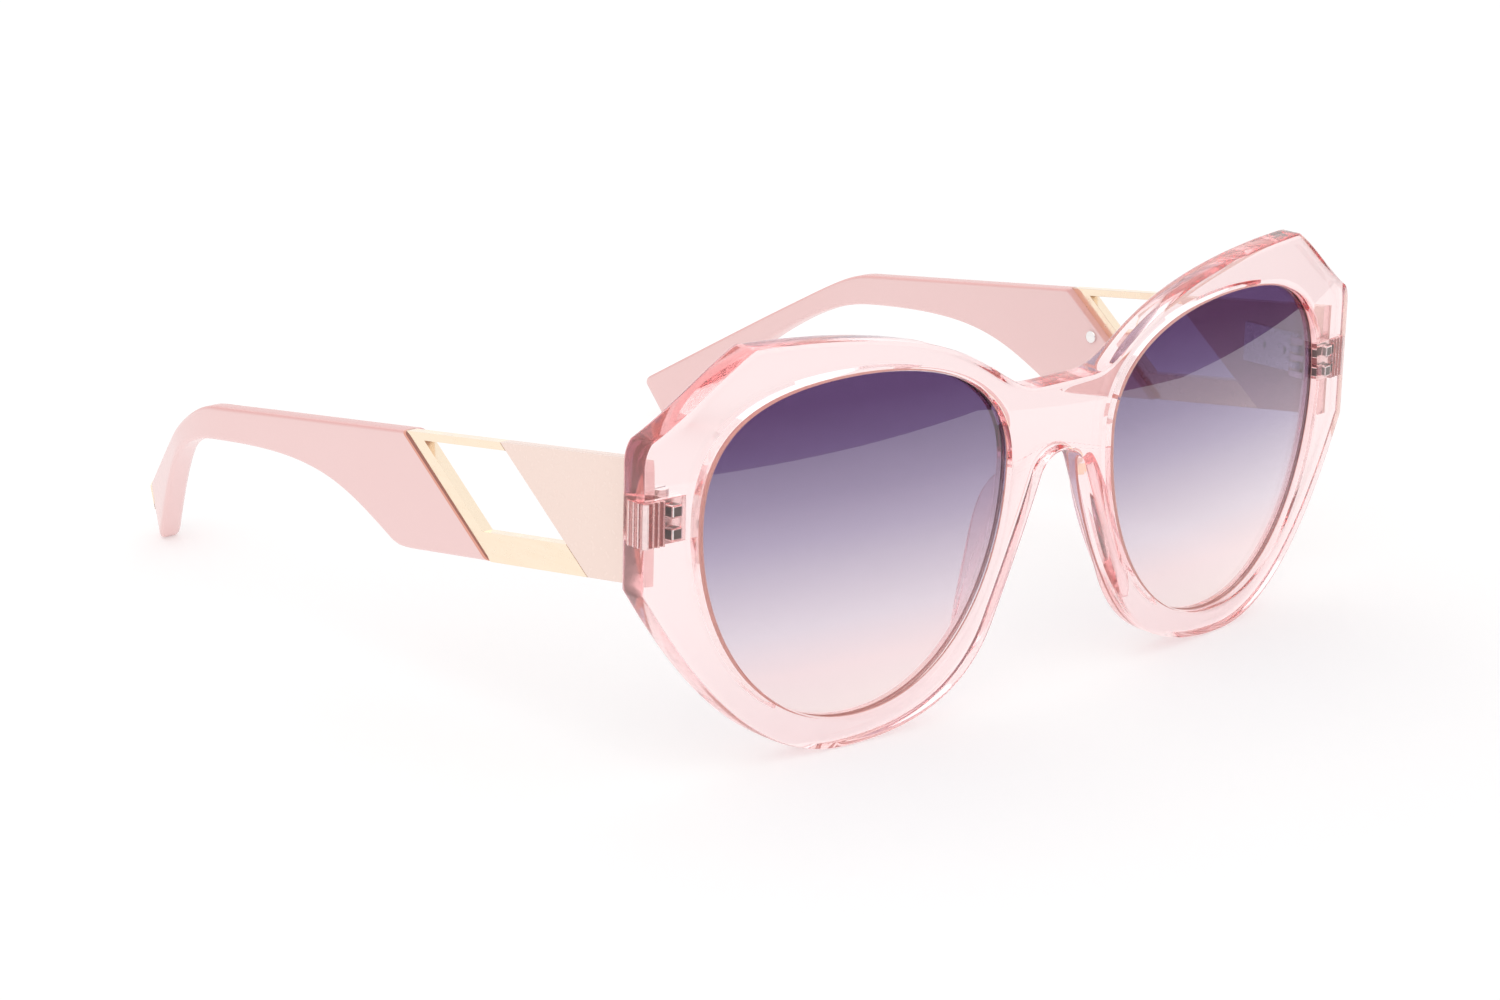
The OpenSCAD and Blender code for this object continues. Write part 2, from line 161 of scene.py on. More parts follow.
def new_finish(name):
    """An empty node material and its tree."""
    finish = bpy.data.materials.new(name)
    finish.use_nodes = True
    finish.node_tree.nodes.clear()
    return finish, finish.node_tree


def finished(tree, surface, volume=None):
    """Joins the surface, and the volume if there is one, to the material's output."""
    out = tree.nodes.new("ShaderNodeOutputMaterial")
    tree.links.new(surface, out.inputs["Surface"])
    if volume is not None:
        tree.links.new(volume, out.inputs["Volume"])


table_half, table_drop = 4.0, 0.02 * MM
table_chalk, table_glow = 0.80, 0.28
table = flat_sheet("table", [(-table_half, -table_half), (table_half, -table_half),
                             (table_half, table_half), (-table_half, table_half)], -table_drop)
table_white, tree = new_finish("table_white")
chalk = joined(tree, "ShaderNodeBsdfDiffuse", Color=(table_chalk, table_chalk, table_chalk, 1))
glow = joined(tree, "ShaderNodeEmission", Color=(1, 1, 1, 1), Strength=table_glow)
both = tree.nodes.new("ShaderNodeAddShader")
tree.links.new(chalk.outputs[0], both.inputs[0])
tree.links.new(glow.outputs[0], both.inputs[1])
finished(tree, both.outputs[0])
table.data.materials.append(table_white)

# Past the table's front edge, which slants away on the right, a dark glowing sheet that only glossy rays see
# lies over the white table: a painted reflection, which makes the deep upper part of each lens.
painted_reflection_glow = (0.07, 0.02, 0.04)
dark_edge = [(-1.5, -0.30), (-0.25, -0.215), (-0.004, -0.198), (0.091, -0.192), (0.163, -0.152),
             (0.243, -0.128), (0.60, -0.05), (2.5, 0.2), (2.5, -2.5), (-1.5, -2.5)]
reflection_only_sheet = flat_sheet("reflection_only_sheet", dark_edge[::-1], 0.0)
for kind in ("camera", "diffuse", "transmission", "shadow"):
    setattr(reflection_only_sheet, "visible_" + kind, False)
painted_reflection_dark, tree = new_finish("painted_reflection_dark")
finished(tree, joined(tree, "ShaderNodeEmission", Color=(*painted_reflection_glow, 1), Strength=1.0).outputs[0])
reflection_only_sheet.data.materials.append(painted_reflection_dark)

# ---- The front ----
# One plate of clear pink acetate, cut out, bent to a wide radius and tumbled until every edge
# is softened. Each rim has a groove inside it that a lens snaps into.
front_low, front_high = [np.array(corner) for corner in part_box("front_frame")]
lens_low, lens_high = [np.array(corner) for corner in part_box("lens_left")]
half_width, front_height = front_high[0], front_high[2]
bend_radius = 350 * MM
front_thickness = 4.6 * MM
groove_depth = 0.45 * MM
lens_inset, lens_thickness = 1.2 * MM, 2.0 * MM
groove_gap = 0.05 * MM
bridge_height = front_height - 12.4 * MM
arch_height = front_height - 22.7 * MM
outer_chamfer, back_round, opening_chamfer = 0.55 * MM, 0.9 * MM, 0.55 * MM
chamfer_bow, sharpest_offset = 0.3, 0.7
eye_low = lens_low[[0, 2]] + groove_depth
eye_high = lens_high[[0, 2]] - groove_depth
eye_middle = np.array([37.0, 30.0]) * MM
face_steps = 10
on_middle, weld, sharp_angle = 0.0001 * MM, 0.002 * MM, np.radians(32)


def stretch(a, b, c, d, count=28):
    """A cubic curve from a to d that leaves towards b and arrives from c, without its last point."""
    t = np.linspace(0, 1, count, endpoint=False)[:, None]
    u = 1 - t
    a, b, c, d = [np.array(p, float) for p in (a, b, c, d)]
    return u**3 * a + 3 * u * u * t * b + 3 * u * t * t * c + t**3 * d


def eye_outline():
    """The opening's edge (x, z): four cubic curves between its inner, top, outer and bottom points."""
    knots = ((0, 0.655), (0, 0.88), (0.21, 0.995), (0.52, 1), (0.82, 1), (1, 0.92), (1, 0.63),
             (1, 0.3), (0.8, 0), (0.5, 0), (0.19, 0), (0, 0.31), (0, 0.655))
    loop = np.concatenate([stretch(*knots[k:k + 4], 60) for k in (0, 3, 6, 9)])
    return loop * (eye_high - eye_low) + eye_low


def rim_outline():
    """One half's outer edge (x, z), clockwise from the bridge's top to the arch and up the middle."""
    inner, outer, top = eye_low[0] / MM, half_width / MM, front_height / MM
    bridge, arch = bridge_height / MM, arch_height / MM
    middle_third = (bridge - arch) / 3
    brow, bridge_end = (inner + 19, top - 2.5), (inner - 5.8, bridge)
    top_corner, end_corner, end_side = (outer - 16.5, top), (outer - 1, top - 10.6), (outer, top - 14)
    low_corner, foot = (outer, top - 31.1), (inner + 28.93, 0)
    nose_low, nose_high = (inner + 1.7, 14.3), (inner - 6.4, arch - 2.7)
    parts = [
        stretch((0, bridge), (1, bridge), (3, bridge), bridge_end, 8),
        stretch(bridge_end, (inner + 1.2, bridge), (inner + 3.2, top - 6.1), brow),
        stretch(brow, (inner + 27, top - 0.7), (outer - 25.5, top + 0.05), top_corner),
        stretch(top_corner, (outer - 12.5, top - 2.1), (outer - 6.5, top - 7.5), end_corner),
        stretch(end_corner, (outer - 0.4, top - 11.4), (outer, top - 12.4), end_side, 8),
        stretch(end_side, (outer, top - 20), (outer, top - 26), low_corner, 14),
        stretch(low_corner, (outer - 5.5, top - 40.6), (outer - 16.5, 0), foot, 40),
        stretch(foot, (inner + 17.2, 0), (inner + 6.2, 3), nose_low, 40),
        stretch(nose_low, (inner - 0.6, 19.1), (inner - 4.2, arch - 8.4), nose_high, 20),
        stretch(nose_high, (inner - 7.2, arch - 0.8), (1.6, arch), (0, arch), 16),
        stretch((0, arch), (0, arch + middle_third), (0, bridge - middle_third), (0, bridge), 9),
    ]
    return np.concatenate(parts) * MM


def outward(loop):
    """Normals of a clockwise loop (x, z): the mean of both sides' normals, lengthened at a corner
    so that an offset edge keeps its distance from the side."""
    side = np.roll(loop, -1, 0) - loop
    side /= np.linalg.norm(side, axis=1, keepdims=True)
    across_side = np.stack([-side[:, 1], side[:, 0]], 1)
    mean = across_side + np.roll(across_side, 1, 0)
    mean /= np.linalg.norm(mean, axis=1, keepdims=True)
    return mean / np.clip((mean * across_side).sum(1, keepdims=True), sharpest_offset, 1)


def rim_normals(loop):
    """Normals of a half's loop, which keep to the middle plane where the two halves join."""
    normal = outward(loop)
    middle = np.abs(loop[:, 0]) < on_middle
    normal[middle] = 0
    normal[middle & np.isclose(loop[:, 1], bridge_height), 1] = 1
    normal[middle & np.isclose(loop[:, 1], arch_height), 1] = -1
    return normal


def face_place(flat, depth):
    """Points (x, z) behind the bent face: y = front + radius - root((radius - depth)^2 - x^2)."""
    y = front_low[1] + bend_radius - np.sqrt((bend_radius - depth)**2 - flat[..., 0]**2)
    return np.stack([flat[..., 0], y, flat[..., 1]], -1)


def by_angle(loop, angles):
    """Where rays from the eye's middle, at these angles, meet a loop that goes once round it, and
    the loop's normals there, both read between the loop's own points."""
    arms = loop - eye_middle
    turn = np.arctan2(arms[:, 1], arms[:, 0])
    order = np.argsort(turn)
    table = np.concatenate([loop, outward(loop)], 1)[order]
    found = np.stack([np.interp(angles, turn[order], column, period=2 * np.pi) for column in table.T], 1)
    return found[:, :2], found[:, 2:]


def front_rings(outer, inner, in_way):
    """Rings (x, y, z): over the front face to the opening, through the groove, over the back face
    and round the outer side, where the back edge turns by sine and cosine of a growing angle."""
    out_way = rim_normals(outer)

    def across_face(inset, round_off, depth, count):
        start, stop = inner + in_way * inset, outer - out_way * round_off
        return [face_place(start + (stop - start) * share, depth) for share in np.linspace(0, 1, count)]

    near, far = lens_inset - groove_gap, lens_inset + lens_thickness + groove_gap
    bow = chamfer_bow * opening_chamfer
    wall = [(bow, bow), (0, opening_chamfer), (0, near), (groove_depth, near), (groove_depth, far), (0, far),
            (0, front_thickness - opening_chamfer)]
    rings = across_face(opening_chamfer, outer_chamfer, 0, face_steps)[::-1]
    rings += [face_place(inner + in_way * inset, depth) for inset, depth in wall]
    rings += across_face(opening_chamfer, back_round, front_thickness, face_steps)
    for angle in np.radians([22.5, 45, 67.5, 90]):
        inset, rise = back_round * (1 - np.sin(angle)), back_round * (1 - np.cos(angle))
        rings.append(face_place(outer - out_way * inset, front_thickness - rise))
    bow = chamfer_bow * outer_chamfer
    rings += [face_place(outer, outer_chamfer), face_place(outer - out_way * bow, bow)]
    return np.array(rings)


def grid_faces(rings, around, loops_back=False):
    """Quads between neighbouring rings of a grid that is closed round each ring."""
    here = np.arange(rings * around).reshape(rings, around)
    if loops_back:
        here = np.concatenate([here, here[:1]])
    turned = np.roll(here, -1, 1)
    return np.stack([here[:-1], turned[:-1], turned[1:], here[1:]], -1).reshape(-1, 4)


def new_piece(name, points, faces):
    """A mesh object, welded, with its faces turned outwards and smooth between its sharp edges."""
    mesh = bpy.data.meshes.new(name)
    mesh.from_pydata(np.reshape(points, (-1, 3)).tolist(), [], [list(face) for face in faces])
    work = bmesh.new()
    work.from_mesh(mesh)
    bmesh.ops.remove_doubles(work, verts=work.verts, dist=weld)
    bmesh.ops.recalc_face_normals(work, faces=work.faces)
    work.to_mesh(mesh)
    work.free()
    mesh.shade_smooth()
    mesh.set_sharp_from_angle(angle=sharp_angle)
    piece = bpy.data.objects.new(name, mesh)
    scene.collection.objects.link(piece)
    return piece


def fitted(piece, body, nodes):
    """Rides a new piece on its body, in place of its CAD nodes."""
    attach(piece, body)
    if nodes:
        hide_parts(*nodes)


eye, rim = eye_outline(), rim_outline()
rim_turn = np.arctan2(*(rim - eye_middle).T[::-1])
rings = front_rings(rim, *by_angle(eye, rim_turn))
half = rings.reshape(-1, 3)
faces = grid_faces(*rings.shape[:2], loops_back=True)
groove_start = face_steps + 2
band = np.arange(len(faces)) // rings.shape[1]
off_middle = ~(np.abs(half[faces][..., 0]) < on_middle).all(1)
in_groove = np.isin(band, (groove_start, groove_start + 2))[off_middle]
faces = faces[off_middle]
front = new_piece("front_acetate", np.concatenate([half, half * [-1, 1, 1]]),
                  np.concatenate([faces, faces[:, ::-1] + len(half)]))


acetate_ior = 1.49
cloud_scale, mark_height = 60.0, 0.03 * MM


def place_on(tree):
    """The place on the piece, in the frame."""
    return tree.nodes.new("ShaderNodeTexCoord").outputs["Object"]


def three_parts(tree, vector):
    """A vector's three parts."""
    return joined(tree, "ShaderNodeSeparateXYZ", Vector=vector).outputs


def polish_group():
    """Fine tumbling marks over a slight waviness: noise at two scales, as a roughness and heights."""
    group = bpy.data.node_groups.new("polish_marks", "ShaderNodeTree")
    for name, value in (("Scale", 900.0), ("Low", 0.02), ("High", 0.06)):
        socket = group.interface.new_socket(name, in_out="INPUT", socket_type="NodeSocketFloat")
        socket.default_value = value
    for name in ("Roughness", "Height", "Cloud"):
        group.interface.new_socket(name, in_out="OUTPUT", socket_type="NodeSocketFloat")
    enter, leave = group.nodes.new("NodeGroupInput"), group.nodes.new("NodeGroupOutput")
    place = place_on(group)
    fine = joined(group, "ShaderNodeTexNoise", Vector=place, Scale=enter.outputs["Scale"], Detail=1.0)
    wide = joined(group, "ShaderNodeTexNoise", Vector=place, Scale=cloud_scale, Detail=3.0)
    spread = joined(group, "ShaderNodeMapRange", Value=fine.outputs["Fac"], From_Min=0.35, From_Max=0.7,
                    To_Min=enter.outputs["Low"], To_Max=enter.outputs["High"])
    group.links.new(spread.outputs[0], leave.inputs["Roughness"])
    group.links.new(fine.outputs["Fac"], leave.inputs["Height"])
    group.links.new(wide.outputs["Fac"], leave.inputs["Cloud"])
    return group


polish_marks = polish_group()


def add_marks(tree, scale, low, high):
    """The polishing marks, placed in one material with its own scale and roughness range."""
    marks = tree.nodes.new("ShaderNodeGroup")
    marks.node_tree = polish_marks
    for key, value in (("Scale", scale), ("Low", low), ("High", high)):
        marks.inputs[key].default_value = value
    return marks.outputs


def tinted(tree, fac, first, second):
    """A colour between two others, each a plain colour or a socket."""
    mix = tree.nodes.new("ShaderNodeMix")
    mix.data_type = "RGBA"
    tree.links.new(fac, mix.inputs[0])
    for slot, colour in ((6, first), (7, second)):
        if isinstance(colour, bpy.types.NodeSocket):
            tree.links.new(colour, mix.inputs[slot])
        else:
            mix.inputs[slot].default_value = (*colour, 1)
    return mix.outputs[2]


def raised(tree, height, strength, distance):
    """A normal from a height, of which 1 stands for the distance."""
    return joined(tree, "ShaderNodeBump", Height=height, Strength=strength, Distance=distance).outputs[0]


def lamp_through(tree, shader, tint):
    """Lets lamp rays pass clear matter, tinted, so that it casts a pale coloured shadow."""
    shadow_ray = tree.nodes.new("ShaderNodeLightPath").outputs["Is Shadow Ray"]
    clear = joined(tree, "ShaderNodeBsdfTransparent", Color=(*tint, 1))
    return mixed(tree, shadow_ray, shader, clear.outputs[0])


def spaced(tree, value, start, stop):
    """A factor that grows from 0 to 1 while the value goes from start to stop."""
    return joined(tree, "ShaderNodeMapRange", Value=value, From_Min=start, From_Max=stop).outputs[0]


def at_corner_walls(tree):
    """A mask of the side walls at the two upswept corners: high, far from the middle, and turned
    away from the front and back faces. The reach and the turn are compared by their squares."""
    place = three_parts(tree, place_on(tree))
    way = three_parts(tree, tree.nodes.new("ShaderNodeNewGeometry").outputs["Normal"])
    beside = worked(tree, "MULTIPLY", place["X"], place["X"])
    turned = worked(tree, "MULTIPLY", way["Y"], way["Y"])
    corner = worked(tree, "MULTIPLY", spaced(tree, beside, *[reach**2 for reach in corner_reach]),
                    spaced(tree, place["Z"], *corner_rise))
    return worked(tree, "MULTIPLY", corner, spaced(tree, turned, *wall_turn))


edge_glow, glow_strength = (0.95, 0.24, 0.20), 0.022
# The corner walls' coral is a painted glow, for light guided round inside the acetate.
painted_corner_glow = (0.93, 0.46, 0.46)
corner_reach, corner_rise = (40 * MM, 58 * MM), (front_height - 20 * MM, front_height - 9 * MM)
wall_turn = (0.5, 0.2)


def clear_acetate(name, skin, depth_colour, density, shadow, has_corners):
    """Polished clear acetate that takes more colour the longer light runs in it. A trace of glow stands for
    the light that is scattered inside, and warms the edges. Where the piece has corners, their walls are
    painted coral, a painted glow that stands for light guided round inside the acetate."""
    finish, tree = new_finish(name)
    marks = add_marks(tree, scale=900, low=0.0, high=0.02)
    colour = tinted(tree, marks["Cloud"], skin, [c * 0.98 for c in skin])
    if has_corners:
        colour = tinted(tree, at_corner_walls(tree), colour, painted_corner_glow)
    body = joined(tree, "ShaderNodeBsdfPrincipled", Base_Color=colour, Roughness=marks["Roughness"],
                  IOR=acetate_ior, Transmission_Weight=0.97, Emission_Color=(*edge_glow, 1),
                  Emission_Strength=glow_strength, Normal=raised(tree, marks["Height"], 0.008, mark_height))
    soak = joined(tree, "ShaderNodeVolumeAbsorption", Color=(*depth_colour, 1), Density=density)
    finished(tree, lamp_through(tree, body.outputs[0], shadow), soak.outputs[0])
    return finish


pink_acetate = clear_acetate("pink_acetate", skin=(1.0, 0.985, 0.985), depth_colour=(0.97, 0.14, 0.16),
                             density=30.0, shadow=(0.98, 0.86, 0.87), has_corners=True)
front.data.materials.append(pink_acetate)

# The groove's walls are milled and never polished, so they show through the rim as coral rings.
groove_cut, tree = new_finish("groove_cut")
marks = add_marks(tree, scale=1600, low=0.40, high=0.60)
milled = joined(tree, "ShaderNodeBsdfPrincipled", Roughness=marks["Roughness"], IOR=acetate_ior,
                Base_Color=tinted(tree, marks["Height"], (0.90, 0.50, 0.44), (0.80, 0.38, 0.33)))
finished(tree, milled.outputs[0])
front.data.materials.append(groove_cut)
front.data.polygons.foreach_set("material_index", np.tile(in_groove, 2).astype(np.int32))
fitted(front, "front", ["front_frame"])

# ---- The nose pads ----
# Two clear acetate leaves, moulded whole and bonded to the back of the inner rims, where they
# splay to a nose's sides.
pad_top, pad_foot = np.array([-2.8, 0.0, -2.2]) * MM, np.array([7.0, 0.0, -26.0]) * MM
pad_depth, pad_taper, pad_half_width = 3.8 * MM, 2.1 * MM, 1.35 * MM
lean_top, lean_foot, pad_squareness = -0.4, 0.75, 0.6
pad_sink = 0.03 * MM


def pad_points(stations, around):
    """A leaf that stands on the back of the rim. Its root runs straight from top to foot, and at a
    share u of it the section is a squared-off ellipse, its sine and cosine raised to a small power and
    cut by the face's back, whose reach and width follow the square root of 1 - |2u - 1|^3."""
    u = (1 - np.cos(np.linspace(0, np.pi, stations)))[:, None] / 2
    v = np.linspace(0, 2 * np.pi, around, endpoint=False)[:, None]
    swell = np.sqrt(1 - np.abs(2 * u - 1)**3)
    root_way = (pad_foot - pad_top) / np.linalg.norm(pad_foot - pad_top)
    lean = lean_top + (lean_foot - lean_top) * u
    crest_way = np.concatenate([-lean, np.ones_like(u), np.zeros_like(u)], 1)
    crest_way /= np.linalg.norm(crest_way, axis=1, keepdims=True)
    crest = (pad_depth - pad_taper * u) * swell * crest_way
    side_way = pad_half_width * swell * np.cross(crest_way, root_way)
    root = pad_top + (pad_foot - pad_top) * u
    up, across_root = [np.sign(wave) * np.abs(wave)**pad_squareness for wave in (np.cos(v), np.sin(v))]
    points = root[:, None] + crest[:, None] * up + side_way[:, None] * across_root
    back = face_place(np.array([[eye_low[0], 0.0]]), front_thickness)[0, 1]
    points = points + [eye_low[0], back, arch_height]
    behind = face_place(points[..., [0, 2]], front_thickness)[..., 1] + pad_sink
    points[..., 1] = np.maximum(points[..., 1], behind)
    return points


pad_clear = clear_acetate("pad_clear", skin=(0.99, 0.93, 0.94), depth_colour=(0.95, 0.3, 0.32),
                          density=60.0, shadow=(0.97, 0.88, 0.88), has_corners=False)
pad_grid = pad_points(stations=34, around=48)
for side, sign in (("left", 1), ("right", -1)):
    pad = new_piece("pad_" + side, pad_grid * [sign, 1, 1], grid_faces(*pad_grid.shape[:2]))
    pad.data.materials.append(pad_clear)
    fitted(pad, "front", ["nose_pad_" + side])

# ---- The lenses ----
# Two thin resin sheets, dyed from violet at the brow to pale peach at the foot. The edge of
# each one sits in the groove round its rim.
lens_stops = ((0.03, (1.0, 0.87, 0.85)), (0.158, (0.95, 0.785, 0.80)), (0.289, (0.765, 0.678, 0.755)),
              (0.417, (0.58, 0.505, 0.615)), (0.544, (0.40, 0.335, 0.475)), (0.67, (0.26, 0.20, 0.335)),
              (0.797, (0.165, 0.112, 0.235)), (0.921, (0.12, 0.068, 0.17)))
lens_ior = 1.8


def lens_points(loop, count):
    """Rings that grow from the middle to the edge on the front and shrink again on the back."""
    share = np.linspace(0, 1, count)[:, None, None]
    flat = eye_middle + (loop - eye_middle) * share
    return np.concatenate([face_place(flat, lens_inset), face_place(flat[::-1], lens_inset + lens_thickness)])


gradient_tint, tree = new_finish("gradient_tint")
height = three_parts(tree, place_on(tree))["Z"]
ramp = tree.nodes.new("ShaderNodeValToRGB")
tree.links.new(spaced(tree, height, lens_low[2], lens_high[2]), ramp.inputs[0])
while len(ramp.color_ramp.elements) < len(lens_stops):
    ramp.color_ramp.elements.new(0.5)
for element, (stop, colour) in zip(ramp.color_ramp.elements, lens_stops):
    element.position, element.color = stop, (*colour, 1)
marks = add_marks(tree, scale=1400, low=0.0, high=0.015)
dyed = joined(tree, "ShaderNodeBsdfPrincipled", Base_Color=ramp.outputs[0], Roughness=marks["Roughness"],
              IOR=lens_ior, Transmission_Weight=1.0)
finished(tree, lamp_through(tree, dyed.outputs[0], (0.80, 0.72, 0.80)))

lens_play = 0.02 * MM
lens_loop, lens_way = by_angle(eye, np.linspace(2 * np.pi, 0, 200, endpoint=False))
lens_grid = lens_points(lens_loop + lens_way * (groove_depth - lens_play), count=14)
for side, sign in (("left", 1), ("right", -1)):
    lens = new_piece("lens_sheet_" + side, lens_grid * [sign, 1, 1], grid_faces(*lens_grid.shape[:2]))
    lens.data.materials.append(gradient_tint)
    fitted(lens, "front", ["lens_" + side])

# ---- The front hinges ----
# A steel plate with knuckles is heat-sunk into the back of each end piece. Two square prongs
# and a row of ribs bite into the acetate, and show through it.
brush_stretch, brush_height = (1.0, 0.06, 1.0), 0.02 * MM
flat_angle = np.radians(0.5)


def metal_finish(name, colour, dark, low, high, brush):
    """Plated metal with fine brushing along the temple: noise stretched along Y, as a roughness,
    a small height and a slight change of colour."""
    finish, tree = new_finish(name)
    along = joined(tree, "ShaderNodeMapping", Vector=place_on(tree), Scale=brush_stretch)
    hair = joined(tree, "ShaderNodeTexNoise", Vector=along.outputs[0], Scale=brush, Detail=1.0)
    marks = add_marks(tree, scale=700, low=low, high=high)
    shade = tinted(tree, hair.outputs["Fac"], colour, dark)
    body = joined(tree, "ShaderNodeBsdfPrincipled", Base_Color=shade, Metallic=1.0,
                  Roughness=marks["Roughness"], Normal=raised(tree, hair.outputs["Fac"], 0.02, brush_height))
    finished(tree, body.outputs[0])
    return finish


satin_steel = metal_finish("satin_steel", (0.86, 0.83, 0.83), (0.76, 0.73, 0.73), 0.18, 0.32, 3000)
rose_steel = metal_finish("rose_steel", (0.96, 0.86, 0.85), (0.84, 0.66, 0.65), 0.10, 0.24, 3000)
dark_steel = metal_finish("dark_steel", (0.17, 0.155, 0.14), (0.10, 0.09, 0.085), 0.3, 0.5, 2500)
# Bright polished steel; on the bevels of darker parts it is a painted highlight along the edges.
bright_steel_and_painted_highlight = metal_finish("bright_steel_and_painted_highlight", (0.93, 0.91, 0.90), (0.84, 0.82, 0.81), 0.1, 0.2, 3000)


def softened(node, body, width, finish, edge_finish=None):
    """A copy of a CAD piece, merged and cleared of flat edges, with its sharp edges rounded."""
    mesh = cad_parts[node].data.copy()
    custom = mesh.attributes.get("custom_normal")
    if custom is not None:
        mesh.attributes.remove(custom)
    work = bmesh.new()
    work.from_mesh(mesh)
    bmesh.ops.remove_doubles(work, verts=work.verts, dist=weld)
    bmesh.ops.dissolve_limit(work, angle_limit=flat_angle, verts=work.verts, edges=work.edges)
    work.to_mesh(mesh)
    work.free()
    mesh.shade_smooth()
    mesh.set_sharp_from_angle(angle=sharp_angle)
    mesh.materials.clear()
    mesh.materials.append(finish)
    piece = bpy.data.objects.new(node + "_finished", mesh)
    scene.collection.objects.link(piece)
    edge = piece.modifiers.new("softened_edge", "BEVEL")
    edge.width, edge.segments, edge.limit_method = width, 2, "ANGLE"
    edge.angle_limit = sharp_angle
    edge.harden_normals = True
    if edge_finish is not None:
        mesh.materials.append(edge_finish)
        edge.material = 1
    fitted(piece, body, [node])
    return piece


rib_depth, rib_side_depth, rib_width = 0.8 * MM, 0.35 * MM, 0.75 * MM
front_ribs, side_ribs = 4, 4
rib_inset, rib_height_gap = 0.5 * MM, 0.05 * MM
rib_behind, rib_reach, rib_valley = 0.74 * MM, 3.6 * MM, 0.45
rib_side_gap, rib_seat = 0.3 * MM, 0.02 * MM


def rib_points(near, corner, inner, back):
    """An upright angle bar with a ribbed front and a ribbed end. Each face falls by its depth times
    the sine's square along it; the places are (x, y) of the four turns, with z from low to high."""
    def wave(count):
        share = np.linspace(0, 1, 10 * count + 1)
        return share, 1 - np.sin(np.pi * count * share)**2

    share, fall = wave(front_ribs)
    ribbed_front = np.stack([near[0] + (corner[0] - near[0]) * share, near[1] + rib_depth * fall], 1)
    share, fall = wave(side_ribs)
    ribbed_end = np.stack([corner[0] - rib_side_depth * fall, corner[1] + (back[1] - corner[1]) * share], 1)
    rest = [[corner[0] - rib_width, back[1]], [corner[0] - rib_width, inner[1]], [near[0], inner[1]]]
    outline = np.concatenate([ribbed_front, ribbed_end[1:], rest])
    levels = np.linspace(near[2], back[2], 3)
    return np.stack([np.column_stack([outline, np.full(len(outline), z)]) for z in levels])


def capped(rings, around):
    """The faces of a grid of closed rings, with one cap over each end."""
    caps = [list(range(around)), list(range((rings - 1) * around, rings * around))]
    return [*grid_faces(rings, around).tolist(), *caps]


# The ribs' valleys take a darker rose: the acetate seen in the hollows, darkened as painted shade.
rose_valley_painted_shade = metal_finish("rose_valley_painted_shade", (0.80, 0.50, 0.48), (0.62, 0.36, 0.35), 0.2, 0.4, 3000)
prong_low, prong_high = [np.array(c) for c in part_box("hinge_prongs_left")]
hinge_low, hinge_high = [np.array(c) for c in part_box("front_hinge_left")]
for side, sign in (("left", 1), ("right", -1)):
    softened("front_hinge_" + side, "front", 0.10 * MM, rose_steel)
    # The prongs' rounded edges carry a painted highlight round their dark faces.
    softened("hinge_prongs_" + side, "front", 0.28 * MM, dark_steel, bright_steel_and_painted_highlight)
    softened("hinge_screw_" + side, "front", 0.08 * MM, satin_steel, bright_steel_and_painted_highlight)
    rib_face, rib_end = prong_low[1] + rib_behind, half_width - rib_inset
    near = (prong_high[0] + rib_side_gap, rib_face, hinge_low[2] + rib_height_gap)
    back = (rib_end, rib_face + rib_reach, hinge_high[2] - rib_height_gap)
    ribs = rib_points(near, (rib_end, rib_face), (near[0], prong_high[1] - rib_seat), back)
    bar = new_piece("hinge_ribs_" + side, ribs * [sign, 1, 1], capped(*ribs.shape[:2]))
    bar.data.materials.append(rose_steel)
    bar.data.materials.append(rose_valley_painted_shade)
    centres = np.empty(3 * len(bar.data.polygons))
    bar.data.polygons.foreach_get("center", centres)
    x, y, _ = centres.reshape(-1, 3).T
    # Faces deep in the valleys get the darker rose, painted shade between the ribs.
    valley = (y > rib_face + rib_valley * rib_depth) & (np.abs(x) < rib_end - rib_valley * rib_side_depth)
    bar.data.polygons.foreach_set("material_index", valley.astype(np.int32))
    fitted(bar, "front", [])

# ---- The temples' metal ----
# A stamped champagne-gold core with an open window, the hinge leaf riveted inside it, and a
# peach lacquer panel laid in its outer face.
champagne_gold = metal_finish("champagne_gold", (0.985, 0.84, 0.67), (0.95, 0.79, 0.61), 0.12, 0.3, 2400)
# A dark brown gold for the plate's bevels: painted shade lines along its edges, round the window and at the
# seams.
gold_edge_painted_shade = metal_finish("gold_edge_painted_shade", (0.42, 0.21, 0.155), (0.30, 0.14, 0.10), 0.3, 0.5, 2400)
# The plate's front end face takes pale rose steel as painted light, for it sits in shade behind the front.
lacquered, painted_light_end = 2, 3
past_panel, end_facing = 0.05 * MM, -0.9


def glossy(tree, colour, marks):
    """An opaque polished body under its fine marks."""
    return joined(tree, "ShaderNodeBsdfPrincipled", Base_Color=colour, Roughness=marks["Roughness"],
                  IOR=acetate_ior, Normal=raised(tree, marks["Height"], 0.01, mark_height)).outputs[0]


peach_lacquer, tree = new_finish("peach_lacquer")
marks = add_marks(tree, scale=1100, low=0.24, high=0.28)
cloudy = tinted(tree, marks["Cloud"], (0.955, 0.77, 0.69), (0.945, 0.755, 0.675))
finished(tree, glossy(tree, cloudy, marks))


